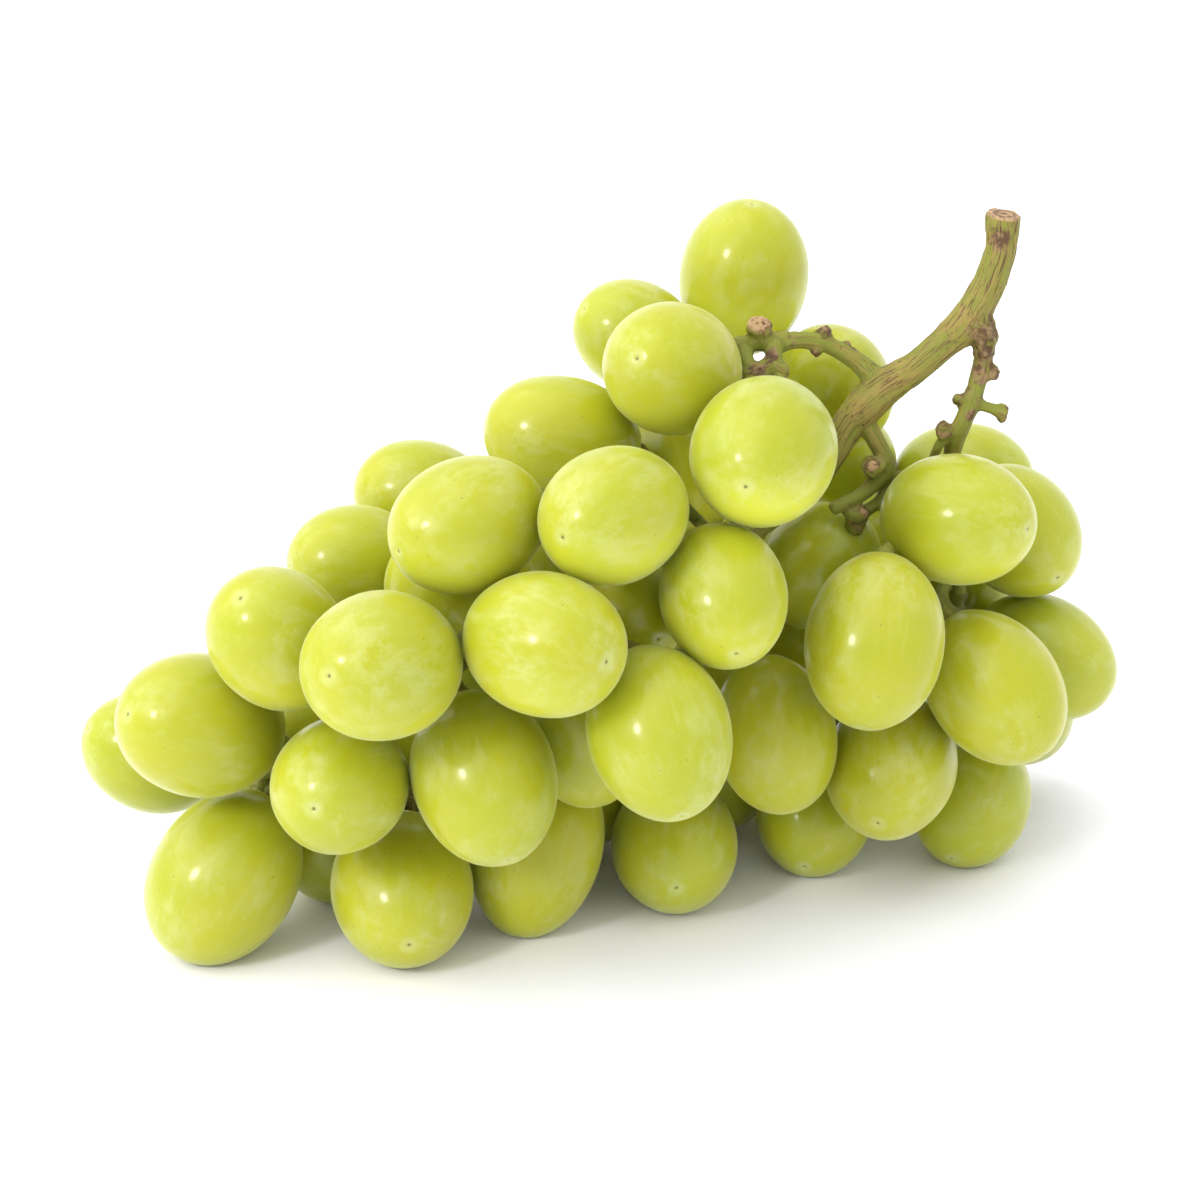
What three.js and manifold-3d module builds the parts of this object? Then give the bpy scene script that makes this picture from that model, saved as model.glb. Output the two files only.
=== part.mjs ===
// A bunch of green table grapes lying on its side: one woody stem with its branches and short stalks,
// and every grape as a solid of its own. Millimetres, +Z up, the surface it lies on at z = 0.
import * as THREE from "three";
import Module from "manifold-3d";
import { mergeVertices } from "three/addons/utils/BufferGeometryUtils.js";

const wasm = await Module();
wasm.setup();

// How the bunch is seen: places are given across to the right, up, and back, away from the viewer.
const VIEW_DISTANCE = 420;
const VIEW_DOWN_DEG = 20;
const VIEW_CENTRE_HEIGHT = 41.4;

// Grapes
const USUAL_HALF_WIDTH = 10;
const USUAL_STRETCH = 1.27;
const LEAST_PITCH_DEG = 12;
const GRAPE_GAP = 0.3;
const FLOOR_PRESS = 0.75;
const FLOOR_GAP = 0.3;
const GRAPE_SIDES = 12;
const GRAPE_ROWS = 7;

// Stem
const STEM_GAP = 0.35;
const STALK_RADIUS = 0.95;
const STALK_LEAST_RADIUS = 0.5;
const STALK_SIDES = 5;
const STALK_STEP = 3.2;
const CUP_RADIUS = 1.75;
const CUP_LENGTH = 1.3;
const CUP_REACH = 3.2;
const STEM_SIDES = 10;
const BRANCH_SIDES = 8;
const SHOOT_SIDES = 6;

// Settling the grapes, and growing the stalks through the gaps between them
const SETTLE_ROUNDS = 700;
const FINISH_ROUNDS = 300;
const SETTLE_PULL = 0.04;
const GRID = 1;
const GRID_MARGIN = 4;
const SHOWING_COST = 4;
const SEED = 7;

const GRAPE_FINISH = { color: 0xc3cc4e, roughness: 0.35, metalness: 0 };
const STEM_FINISH = { color: 0x9d9a5f, roughness: 0.7, metalness: 0 };

// The grapes that show, from the top down and from right to left. For each: across, up and back
// of its middle, half its length and half its width as seen, and the direction its tip points to
// in degrees from across, turning upwards. A grape with no direction points away from the stem.
const SEEN = [
  [23, 51.5, -8, 12.2, 10.2, 85],
  [6, 42, -20, 10.6, 8.8, 155],
  [11.5, 37, -38, 11.2, 10.6, 175],
  [26, 23.5, -42, 12.3, 11.5, 240],
  [37.5, 34, -3, 10.2, 9.1, 125],
  [38.5, 22, 14, 10.2, 8.5],
  [58, 19, 9, 11.2, 9.4, 355],
  [57, 12.8, -27, 12.1, 10.4, 350],
  [66.5, 11, -7, 11.2, 9.6, 305],
  [35, 7, -12, 11.5, 9.4],
  [46, 10, 6, 10.6, 8.8],
  [19.5, 0.5, -45, 11.6, 10.1, 280],
  [2, 13.5, -46, 12, 10.7, 205],
  [44, -6.5, -27, 14.1, 10.9, 262],
  [63, -14, -22, 13.4, 10.4, 305],
  [71, -9, 1, 11.8, 9.4, 330],
  [66.5, -17, 17, 11, 9],
  [57.5, 0, 12, 11, 9],
  [46.5, -26.5, -14, 11.8, 10.4, 250],
  [59.5, -32, 0, 11, 9.2, 245],
  [28, -21.5, -20, 12.8, 9.8, 280],
  [34, -33, -1, 11, 9.4, 255],
  [9.6, -21, -50, 14, 11.4, 285],
  [11.5, -39, -18, 10.8, 10.2, 270],
  [-9, -7, -57, 13.2, 11.5, 345],
  [3, -1, -26, 11, 9],
  [-6, 26, -28, 12.7, 9.8, 170],
  [-21, 12, -48, 12.8, 10.7, 203],
  [-28.5, 17, -20, 11, 8.7, 175],
  [-39, 6.4, -29, 10.8, 8.8, 185],
  [-24.5, 0.5, -34, 11, 9],
  [-35, -10.5, -52, 12.5, 11.7, 190],
  [-51.5, -6.5, -42, 11.7, 10.6, 125],
  [-63.5, -20, -28, 12.8, 11.2, 167],
  [-71.5, -24.5, -8, 11.2, 9.3, 155],
  [-59.5, -44, -30, 14.9, 11.7, 240],
  [-41.5, -29.5, -44, 11, 10.7, 225],
  [-32, -46, -34, 12.5, 11.5, 285],
  [-18.5, -28.5, -44, 14.1, 11.5, 288],
  [-10, -39, -23, 15.2, 10.6, 258],
  [-45.5, -39, -9, 10.4, 8.6],
  [-3, -22, -18, 11, 9.2],
  [22, -27.5, 10, 11, 9],
  [12, 19, -16, 11, 9],
  [-11, 9, -26, 11, 9],
  [9, 5.5, -8, 11, 9],
  [-46, -26, 2, 10.6, 8.6],
];

// The grapes round the back, hidden from the viewer: x, y and height of the middle.
const HIDDEN = [
  [-41, -9, 10],
  [-20, 2, 10],
  [1, 11, 10],
  [23, 18, 10],
  [46, 22, 10],
  [-31, -10, 28],
  [-10, 0, 29],
  [12, 10, 29],
  [35, 18, 29],
  [4, 2, 46],
  [26, 9, 47],
  [0, -12, 12],
];

// The grapes that the bunch lies on, by their place in the two lists together.
const ON_FLOOR = [20, 22, 24, 36, 38, 40, 41, 48, 49, 50, 51, 52];

// The stem as seen, as places across, up and back with the radius there.
const MAIN_STEM = [
  [64.6, 61.1, -30, 2.5],
  [64.2, 56.3, -29, 2.3],
  [62.6, 51.4, -28, 2.35],
  [60.2, 46.7, -27, 2.55],
  [58, 43.6, -26.5, 2.9],
  [55.2, 41.3, -26, 2.35],
  [50.6, 37.4, -25, 2.3],
  [46.1, 34.4, -24, 2.7],
  [42.9, 31.7, -23, 2.95],
  [40, 28.6, -22, 2.45],
  [37.5, 24, -21, 2.2],
  [33, 18, -20, 2.1],
  [25, 12, -20, 2],
  [12, 6, -21, 1.9],
  [-5, -1.5, -23, 1.7],
  [-22, -9.5, -27, 1.55],
  [-36, -17.5, -27, 1.4],
  [-47, -25, -24, 1.2],
  [-54, -28, -19, 1.05],
];
const RIGHT_BRANCH = [
  [60.5, 44.3, -26.5, 2.1],
  [61.7, 42.4, -26, 1.95],
  [61.6, 39.8, -25, 1.4],
  [61.1, 37.4, -24.5, 1.35],
  [60.2, 34.1, -24, 1.3],
  [59.5, 31.7, -23.5, 1.4],
  [58.1, 28.5, -23, 1.35],
  [57, 26.2, -21, 1.45],
  [56.2, 23, -17, 1.3],
  [56.5, 17, -13, 1.2],
  [57.5, 9, -10.5, 1.15],
  [57.5, 1, -9, 1.05],
];
const LEFT_BRANCH = [
  [44.6, 35, -23.5, 1.9],
  [41.3, 38.1, -23.5, 1.45],
  [38.2, 40, -24, 1.3],
  [35.5, 41.3, -24.5, 1.3],
  [32.3, 41.6, -25.5, 1.25],
  [29.6, 41.4, -26, 1.35],
  [26.6, 41.3, -26.5, 1.4],
  [22.5, 41, -26, 1.2],
  [17, 40, -23, 1.1],
  [11.5, 37, -20, 1.05],
];
const LOWER_BRANCH = [
  [42.2, 29, -22, 1.6],
  [44, 25.8, -21.5, 1.4],
  [45.6, 22.7, -20.5, 1.4],
  [46, 20.7, -19.5, 1.4],
  [43.6, 18.3, -20.5, 1.2],
  [41.3, 16.6, -21.5, 1.05],
  [37, 14.5, -22, 1],
];
// Short side shoots that have lost their grapes: rough knobs, stubs and flared ends.
const SHOOTS = [
  [[59.7, 31.5, -23.5, 0.9], [62.5, 30.7, -23.5, 0.85], [64.1, 30.1, -23.5, 1.05], [65.1, 29.9, -23.5, 1.4]],
  [[59.5, 31.7, -23.5, 0.7], [57.4, 32, -23.7, 0.6]],
  [[61, 36.4, -24.4, 0.9], [62.9, 36.2, -24.6, 0.7]],
  [[57.2, 26.8, -22, 1], [55.1, 27.1, -22.6, 0.95]],
  [[55.6, 27, -22.3, 0.8], [54.1, 24.5, -21, 0.75], [53.2, 22.6, -18.5, 0.7]],
  [[45.7, 22.4, -20.8, 1.1], [43.6, 21.4, -22.8, 1.3]],
  [[46, 20.9, -19.5, 1.2], [46, 18.3, -18.5, 0.95], [44.8, 15.8, -19, 0.9], [42.2, 14.1, -20.3, 1], [41.1, 13.7, -21, 1.5]],
  [[35.6, 41.2, -24.5, 1.1], [35.9, 43.3, -24.8, 1]],
  [[35, 40.9, -24.5, 0.9], [34.5, 39.3, -25, 0.75]],
  [[39, 39.8, -24, 0.8], [39.6, 41.4, -24.2, 0.4]],
  [[26, 41.5, -26.5, 1.4], [25.5, 44.2, -27.3, 1.65]],
  [[27.6, 41, -26.5, 1.2], [27.7, 39.2, -27.5, 1.1], [27.4, 37.6, -28, 1.05], [28.7, 36.9, -28.4, 1.25]],
  [[27.5, 38, -28, 0.95], [25.2, 36.6, -28.6, 0.85], [24, 36.8, -28.8, 0.85]],
  [[23.6, 41, -26.3, 0.95], [23.6, 39, -27.6, 0.9], [24.2, 36.8, -28.8, 0.85]],
];

// The viewer's own directions in the part's frame
const viewDown = THREE.MathUtils.degToRad(VIEW_DOWN_DEG);
const VIEW_CENTRE = new THREE.Vector3(0, 0, VIEW_CENTRE_HEIGHT);
const VIEW_AHEAD = new THREE.Vector3(0, Math.cos(viewDown), -Math.sin(viewDown));
const VIEW_UP = new THREE.Vector3(0, Math.sin(viewDown), Math.cos(viewDown));
const VIEW_ACROSS = new THREE.Vector3(1, 0, 0);
const VIEWER = VIEW_CENTRE.clone().addScaledVector(VIEW_AHEAD, -VIEW_DISTANCE);
const UP = new THREE.Vector3(0, 0, 1);

// What lies farther back looks smaller, so its distances from the middle of the view are larger.
function spreadAt(back) {
  return 1 + back / VIEW_DISTANCE;
}

function place(across, up, back) {
  return VIEW_CENTRE.clone()
    .addScaledVector(VIEW_AHEAD, back)
    .addScaledVector(VIEW_ACROSS, across * spreadAt(back))
    .addScaledVector(VIEW_UP, up * spreadAt(back));
}

// Seeded draws between -1 and 1, so that every build is the same
let draw = SEED;
function random() {
  draw = (draw * 1103515245 + 12345) % 2147483648;
  return draw / 1073741824 - 1;
}

// A matrix that scales by one number along an axis and by another across it
function scaling(across, along, axis) {
  const more = along - across;
  const { x, y, z } = axis;
  return new THREE.Matrix3().set(
    across + more * x * x, more * x * y, more * x * z,
    more * x * y, across + more * y * y, more * y * z,
    more * x * z, more * y * z, across + more * z * z,
  );
}

function mixed(first, second, share) {
  const sum = new THREE.Matrix3();
  for (let index = 0; index < 9; index += 1) {
    sum.elements[index] = first.elements[index] * (1 - share) + second.elements[index] * share;
  }
  return sum;
}

// How far an egg-shaped body reaches from its middle along a direction
function reach(body, direction) {
  const along = body.axis.dot(direction);
  return Math.sqrt(body.wide ** 2 * (1 - along ** 2) + body.long ** 2 * along ** 2);
}

// Two bodies closer than a gap: the direction between them, and how much they have to part
function overlap(first, second, gap) {
  const between = second.middle.clone().sub(first.middle);
  if (between.length() > first.long + second.long + gap) {
    return null;
  }
  const [firstShape, secondShape] = [first, second].map(
    (body) => scaling((body.wide + gap / 2) ** 2, (body.long + gap / 2) ** 2, body.axis),
  );
  const contact = (share) => {
    const towards = between.clone().applyMatrix3(mixed(firstShape, secondShape, share).invert());
    return { closeness: share * (1 - share) * between.dot(towards), towards };
  };
  let least = 0;
  let most = 1;
  for (let round = 0; round < 12; round += 1) {
    const left = THREE.MathUtils.lerp(least, most, 0.382);
    const right = THREE.MathUtils.lerp(least, most, 0.618);
    if (contact(left).closeness < contact(right).closeness) {
      least = left;
    } else {
      most = right;
    }
  }
  const { closeness, towards } = contact((least + most) / 2);
  if (closeness >= 1) {
    return null;
  }
  const normal = towards.normalize();
  const depth = (reach(first, normal) + reach(second, normal) + gap) * (1 - Math.sqrt(closeness));
  return { normal, depth };
}

// Branches
function curveThrough(points) {
  return new THREE.CatmullRomCurve3(points.map(([across, up, back]) => place(across, up, back)));
}

function branchRadius(points, along) {
  const reached = along * (points.length - 1);
  const before = Math.min(Math.floor(reached), points.length - 2);
  return THREE.MathUtils.lerp(points[before][3], points[before + 1][3], reached - before);
}

// The balls that fill a branch, which the grapes keep clear of and the stalks grow from
function branchBalls(points) {
  const curve = curveThrough(points);
  const steps = Math.ceil(curve.getLength() / 2);
  return Array.from({ length: steps + 1 }, (_, step) => {
    const radius = branchRadius(points, step / steps);
    return { middle: curve.getPoint(step / steps), axis: UP, long: radius, wide: radius };
  });
}

const stemBalls = [MAIN_STEM, RIGHT_BRANCH, LEFT_BRANCH, LOWER_BRANCH, ...SHOOTS].flatMap(branchBalls);

function nearestBall(point) {
  return stemBalls.reduce((best, ball) => (
    ball.middle.distanceTo(point) < best.middle.distanceTo(point) ? ball : best
  ));
}

function awayFromStem(middle) {
  return middle.clone().sub(nearestBall(middle).middle).normalize();
}

// Grapes. One that looks rounder than most has its tip turned towards the viewer.
function seenAxis(lean, stretchSeen, stretch) {
  const flatness = Math.sqrt(Math.max(stretchSeen ** 2 - 1, 0) / (stretch ** 2 - 1));
  const pitch = Math.max(Math.acos(Math.min(flatness, 1)), THREE.MathUtils.degToRad(LEAST_PITCH_DEG));
  const turn = THREE.MathUtils.degToRad(lean);
  return new THREE.Vector3()
    .addScaledVector(VIEW_ACROSS, Math.cos(turn) * Math.cos(pitch))
    .addScaledVector(VIEW_UP, Math.sin(turn) * Math.cos(pitch))
    .addScaledVector(VIEW_AHEAD, -Math.sin(pitch))
    .normalize();
}

function seenGrape([across, up, back, halfLength, halfWidth, lean]) {
  const middle = place(across, up, back);
  const wide = halfWidth * spreadAt(back);
  const long = Math.max(wide * USUAL_STRETCH, halfLength * spreadAt(back));
  const glimpsed = lean === undefined;
  const axis = glimpsed ? awayFromStem(middle) : seenAxis(lean, halfLength / halfWidth, long / wide);
  return { middle, axis, long, wide, glimpsed, hidden: false };
}

function hiddenGrape([x, y, z]) {
  const middle = new THREE.Vector3(x, y, z);
  const wide = USUAL_HALF_WIDTH * (1 + 0.04 * random());
  const long = wide * (USUAL_STRETCH + 0.05 * random());
  const sideways = new THREE.Vector3(random(), random(), random()).multiplyScalar(0.4);
  const axis = awayFromStem(middle).add(sideways).normalize();
  return { middle, axis, long, wide, glimpsed: false, hidden: true };
}

// How easily a grape gives way: hidden ones any way, the others mostly along the line of sight
function ease(grape) {
  if (grape.hidden) {
    return scaling(1, 1, grape.sight);
  }
  return scaling(grape.glimpsed ? 0.4 : 0.05, 1, grape.sight);
}

function restOnFloor(grape) {
  const height = reach(grape, UP);
  const drop = height - FLOOR_PRESS - grape.middle.z;
  if (!grape.onFloor) {
    grape.middle.z = Math.max(grape.middle.z, height + FLOOR_GAP);
  } else if (grape.hidden) {
    grape.middle.z += drop;
  } else {
    grape.middle.addScaledVector(grape.sight, drop / grape.sight.z);
  }
}

function pushApart(first, second, { normal, depth }) {
  const firstStep = normal.clone().applyMatrix3(first.ease);
  const secondStep = normal.clone().applyMatrix3(second.ease);
  const share = depth / (normal.dot(firstStep) + normal.dot(secondStep));
  first.middle.addScaledVector(firstStep, -share);
  second.middle.addScaledVector(secondStep, share);
}

function partIfClose(first, second, gap) {
  const found = overlap(first, second, gap);
  if (found) {
    pushApart(first, second, found);
  }
}

// Keeps the other grapes off the start of a grape's stalk, as two balls behind its stem end
function guardStalk(grape) {
  [1.6, 4.2].forEach((away, index) => {
    const start = grape.middle.clone().addScaledVector(grape.axis, -(grape.long + away));
    const radius = 1.6 - 0.4 * index;
    const ball = { middle: start.clone(), axis: UP, long: radius, wide: radius, ease: grape.ease };
    grapes.filter((other) => other !== grape).forEach((other) => partIfClose(other, ball, STEM_GAP));
    grape.middle.add(ball.middle).sub(start);
  });
}

function pullHome(grape) {
  const strength = scaling(1, grape.hidden ? 1 : 0.15, grape.sight);
  const step = grape.home.clone().sub(grape.middle).applyMatrix3(strength);
  grape.middle.addScaledVector(step, SETTLE_PULL);
}

// Moves the grapes apart until none touches another, the stem, a stalk's start or the floor
function settle() {
  stemBalls.forEach((ball) => {
    ball.ease = scaling(0, 0, UP);
  });
  grapes.forEach((grape, index) => {
    grape.onFloor = ON_FLOOR.includes(index + 1);
    grape.sight = grape.middle.clone().sub(VIEWER).normalize();
    grape.ease = ease(grape);
    restOnFloor(grape);
    grape.home = grape.middle.clone();
  });
  for (let round = 0; round < SETTLE_ROUNDS + FINISH_ROUNDS; round += 1) {
    grapes.forEach((grape, index) => {
      if (round < SETTLE_ROUNDS) {
        pullHome(grape);
      }
      grapes.slice(index + 1).forEach((other) => partIfClose(grape, other, GRAPE_GAP));
      stemBalls.forEach((ball) => partIfClose(grape, ball, 2 * STEM_GAP));
      guardStalk(grape);
      restOnFloor(grape);
    });
  }
}

const grapes = [...SEEN.map(seenGrape), ...HIDDEN.map(hiddenGrape)];
settle();

// Distance from a point to the skin of one grape, and to the nearest grape or the floor
function skinDistance(grape, point) {
  const offset = point.clone().sub(grape.middle);
  const along = offset.dot(grape.axis);
  const aside = Math.sqrt(Math.max(offset.lengthSq() - along ** 2, 0));
  const scaled = Math.hypot(along / grape.long, aside / grape.wide);
  const slope = Math.hypot(along / grape.long ** 2, aside / grape.wide ** 2);
  return slope > 0 ? (scaled * (scaled - 1)) / slope : -grape.wide;
}

function clearance(point) {
  return grapes.reduce((least, grape) => Math.min(least, skinDistance(grape, point)), point.z);
}

// True where no grape stands between a point and the viewer
function shows(point) {
  return grapes.every((grape) => {
    const shrink = scaling(1 / grape.wide, 1 / grape.long, grape.axis);
    const offset = point.clone().sub(grape.middle).applyMatrix3(shrink);
    const ray = VIEWER.clone().sub(point).applyMatrix3(shrink);
    const nearest = THREE.MathUtils.clamp(-offset.dot(ray) / ray.lengthSq(), 0, 1);
    return offset.addScaledVector(ray, nearest).lengthSq() > 1;
  });
}

// A grid over the bunch, which holds how far each of its points is from the nearest grape
const gridBox = new THREE.Box3().setFromPoints(grapes.map((grape) => grape.middle));
const gridStart = gridBox.min.clone().subScalar(GRID_MARGIN).setZ(0);
const gridSize = gridBox.max.clone().sub(gridStart).addScalar(GRID_MARGIN).divideScalar(GRID).ceil();
const lastCell = gridSize.clone().subScalar(1);

function cellNumber({ x, y, z }) {
  return x + gridSize.x * (y + gridSize.y * z);
}

function cellPoint(cell) {
  return cell.clone().multiplyScalar(GRID).add(gridStart);
}

function cellAt(point) {
  return point.clone().sub(gridStart).divideScalar(GRID).round().clamp(new THREE.Vector3(), lastCell);
}

const room = new Float32Array(gridSize.x * gridSize.y * gridSize.z).fill(GRID_MARGIN);
grapes.forEach((grape) => {
  const span = grape.long + GRID_MARGIN;
  const start = cellAt(grape.middle.clone().subScalar(span));
  const end = cellAt(grape.middle.clone().addScalar(span));
  for (let z = start.z; z <= end.z; z += 1) {
    for (let y = start.y; y <= end.y; y += 1) {
      for (let x = start.x; x <= end.x; x += 1) {
        const cell = new THREE.Vector3(x, y, z);
        const number = cellNumber(cell);
        room[number] = Math.min(room[number], skinDistance(grape, cellPoint(cell)), z * GRID);
      }
    }
  }
});

const STEPS = [];
for (let x = -1; x <= 1; x += 1) {
  for (let y = -1; y <= 1; y += 1) {
    for (let z = -1; z <= 1; z += 1) {
      STEPS.push(new THREE.Vector3(x, y, z));
    }
  }
}

function around(cell) {
  return STEPS.map((step) => cell.clone().add(step))
    .filter((next) => next.clone().clamp(new THREE.Vector3(0, 0, 1), lastCell).equals(next));
}

// What a stalk pays for each millimetre through a cell: more where it is tight or where it shows
function tollAt(cell) {
  const space = room[cellNumber(cell)];
  if (space < STALK_LEAST_RADIUS + STEM_GAP / 2) {
    return Infinity;
  }
  const squeeze = 8 * Math.max(0, STALK_RADIUS + STEM_GAP - space) ** 2;
  return 1 + squeeze + (shows(cellPoint(cell)) ? SHOWING_COST : 0);
}

// A heap that hands its entries out from the cheapest up
function heapPush(heap, entry) {
  heap.push(entry);
  let child = heap.length - 1;
  while (child > 0) {
    const parent = (child - 1) >> 1;
    if (heap[parent].cost <= heap[child].cost) {
      return;
    }
    [heap[parent], heap[child]] = [heap[child], heap[parent]];
    child = parent;
  }
}

function heapPop(heap) {
  const first = heap[0];
  const last = heap.pop();
  if (heap.length === 0) {
    return first;
  }
  heap[0] = last;
  let parent = 0;
  for (;;) {
    const children = [2 * parent + 1, 2 * parent + 2].filter((child) => child < heap.length);
    const least = children.reduce((best, child) => (heap[child].cost < heap[best].cost ? child : best), parent);
    if (least === parent) {
      return first;
    }
    [heap[parent], heap[least]] = [heap[least], heap[parent]];
    parent = least;
  }
}

// Where a stalk can join: each cell on a branch or an earlier stalk, with the point it joins at
const joints = new Map();
function markJoints(points) {
  points.forEach((point) => {
    around(cellAt(point)).forEach((cell) => {
      if (!joints.has(cellNumber(cell))) {
        joints.set(cellNumber(cell), point);
      }
    });
    joints.set(cellNumber(cellAt(point)), point);
  });
}

// The cheapest way through the gaps from a point to the nearest joint
function routeFrom(point) {
  const start = around(cellAt(point)).reduce((best, cell) => (
    room[cellNumber(cell)] > room[cellNumber(best)] ? cell : best
  ));
  const cameFrom = new Map();
  const done = new Set();
  const costs = new Map([[cellNumber(start), 0]]);
  const heap = [{ cost: 0, cell: start }];
  while (heap.length > 0) {
    const { cost, cell } = heapPop(heap);
    const number = cellNumber(cell);
    if (joints.has(number)) {
      const cells = [cell];
      while (cameFrom.has(cellNumber(cells[0]))) {
        cells.unshift(cameFrom.get(cellNumber(cells[0])));
      }
      return [...cells.map(cellPoint), joints.get(number).clone()];
    }
    if (!done.has(number)) {
      done.add(number);
      around(cell).forEach((next) => {
        const nextNumber = cellNumber(next);
        if (done.has(nextNumber)) {
          return;
        }
        const nextCost = cost + cell.distanceTo(next) * tollAt(next);
        if (nextCost < (costs.get(nextNumber) ?? Infinity)) {
          costs.set(nextNumber, nextCost);
          cameFrom.set(nextNumber, cell);
          heapPush(heap, { cost: nextCost, cell: next });
        }
      });
    }
  }
  throw new Error("a grape has no way to the stem");
}

// The direction in which a point gets away from the grapes fastest
function wayOut(point) {
  const step = 0.2;
  const slopes = ["x", "y", "z"].map((axis) => {
    const ahead = point.clone();
    const behind = point.clone();
    ahead[axis] += step;
    behind[axis] -= step;
    return clearance(ahead) - clearance(behind);
  });
  return new THREE.Vector3(...slopes).normalize();
}

// Rounds a route off, and holds it clear of the grapes
function roundOff(points) {
  const needed = STALK_RADIUS + STEM_GAP;
  for (let round = 0; round < 40; round += 1) {
    for (let index = 2; index < points.length - 1; index += 1) {
      const point = points[index];
      point.lerp(points[index - 1].clone().lerp(points[index + 1], 0.5), 0.5);
      const gap = clearance(point);
      if (gap < needed) {
        point.addScaledVector(wayOut(point), Math.min(needed - gap, 0.4));
      }
    }
  }
}

// One stalk: a cup at the grape's stem end, then a thin stem that finds its way to a branch
function stalkPoints(grape) {
  const [cup, neck, foot] = [0, CUP_LENGTH, CUP_REACH].map((away) => (
    grape.middle.clone().addScaledVector(grape.axis, -(grape.long + GRAPE_GAP + away))
  ));
  const points = [cup, neck, ...routeFrom(foot)];
  roundOff(points);
  markJoints(points.slice(3));
  return points;
}

function stemEndGap(grape) {
  const end = grape.middle.clone().addScaledVector(grape.axis, -grape.long);
  return nearestBall(end).middle.distanceTo(end);
}

markJoints(stemBalls.filter((ball) => ball.wide > 1).map((ball) => ball.middle));
const stalks = [...grapes]
  .sort((first, second) => stemEndGap(first) - stemEndGap(second))
  .map(stalkPoints);

// A round bar along a curve, closed at both ends, with its own radius at each step
function bar(curve, radiusAt, sides, steps) {
  const geometry = new THREE.CylinderGeometry(1, 1, 1, sides, steps);
  const rings = [];
  let side = new THREE.Vector3(0.3, 1, 0.2);
  for (let step = 0; step <= steps; step += 1) {
    const along = step / steps;
    const tangent = curve.getTangent(along);
    side = side.clone().addScaledVector(tangent, -side.dot(tangent)).normalize();
    rings.push({
      middle: curve.getPoint(along),
      side,
      other: tangent.clone().cross(side),
      radius: radiusAt(along),
    });
  }
  const corners = geometry.getAttribute("position");
  for (let index = 0; index < corners.count; index += 1) {
    const ring = rings[Math.round((0.5 - corners.getY(index)) * steps)];
    const corner = ring.middle.clone()
      .addScaledVector(ring.side, corners.getX(index) * ring.radius)
      .addScaledVector(ring.other, corners.getZ(index) * ring.radius);
    corners.setXYZ(index, corner.x, corner.y, corner.z);
  }
  return geometry;
}

function branchBar(points, sides) {
  return bar(curveThrough(points), (along) => branchRadius(points, along), sides, points.length - 1);
}

function stalkBar(points) {
  const curve = new THREE.CatmullRomCurve3(points);
  const radiusAt = (along) => {
    const free = clearance(curve.getPoint(along)) - STEM_GAP;
    const radius = Math.max(STALK_LEAST_RADIUS, Math.min(STALK_RADIUS, free));
    return along === 0 ? CUP_RADIUS : radius;
  };
  const steps = Math.max(3, Math.round(curve.getLength() / STALK_STEP));
  return bar(curve, radiusAt, STALK_SIDES, steps);
}

// Closed surfaces to solids and back
function solid(geometry) {
  geometry.deleteAttribute("normal");
  geometry.deleteAttribute("uv");
  const merged = mergeVertices(geometry, 1e-4);
  return new wasm.Manifold(new wasm.Mesh({
    numProp: 3,
    vertProperties: new Float32Array(merged.getAttribute("position").array),
    triVerts: new Uint32Array(merged.index.array),
  }));
}

function surface(body) {
  const { vertProperties, triVerts } = body.getMesh();
  const geometry = new THREE.BufferGeometry();
  geometry.setAttribute("position", new THREE.BufferAttribute(vertProperties, 3));
  geometry.setIndex(new THREE.BufferAttribute(triVerts, 1));
  return geometry;
}

// The stem in one piece, without the sealed bubbles that crossing stalks can leave
function stemGeometry() {
  const bars = [
    branchBar(MAIN_STEM, STEM_SIDES),
    ...[RIGHT_BRANCH, LEFT_BRANCH, LOWER_BRANCH].map((points) => branchBar(points, BRANCH_SIDES)),
    ...SHOOTS.map((points) => branchBar(points, SHOOT_SIDES)),
    ...stalks.map(stalkBar),
  ];
  const joined = bars.map(solid).reduce((whole, piece) => whole.add(piece));
  return surface(joined.decompose().reduce((most, body) => (body.volume() > most.volume() ? body : most)));
}

// A grape, with a small flat spot where it is pressed on the surface
const belowFloor = solid(new THREE.BoxGeometry(400, 400, 20).translate(0, 0, -10));

function grapeGeometry(grape) {
  const geometry = new THREE.SphereGeometry(1, GRAPE_SIDES, GRAPE_ROWS);
  geometry.scale(grape.wide, grape.long, grape.wide);
  geometry.applyQuaternion(new THREE.Quaternion().setFromUnitVectors(new THREE.Vector3(0, 1, 0), grape.axis));
  geometry.translate(grape.middle.x, grape.middle.y, grape.middle.z);
  return grape.onFloor ? surface(solid(geometry).subtract(belowFloor)) : geometry;
}

function part(name, geometry, finish) {
  const mesh = new THREE.Mesh(geometry, new THREE.MeshStandardMaterial(finish));
  mesh.name = name;
  return mesh;
}

// The bunch, with its origin on the surface under the middle of its box
const group = new THREE.Group();
group.add(part("stem", stemGeometry(), STEM_FINISH));
grapes.forEach((grape, index) => {
  const name = `grape_${String(index + 1).padStart(2, "0")}`;
  group.add(part(name, grapeGeometry(grape), GRAPE_FINISH));
});
const middle = new THREE.Box3().setFromObject(group, true).getCenter(new THREE.Vector3());
group.position.set(-middle.x, -middle.y, 0);

export default group;
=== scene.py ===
"""A bunch of pale green grapes lying on a white table, laid out as a Blender add-on and run as a script."""

import math
import random

import bmesh
import bpy
import numpy as np
from mathutils import Matrix, Vector, noise


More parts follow.
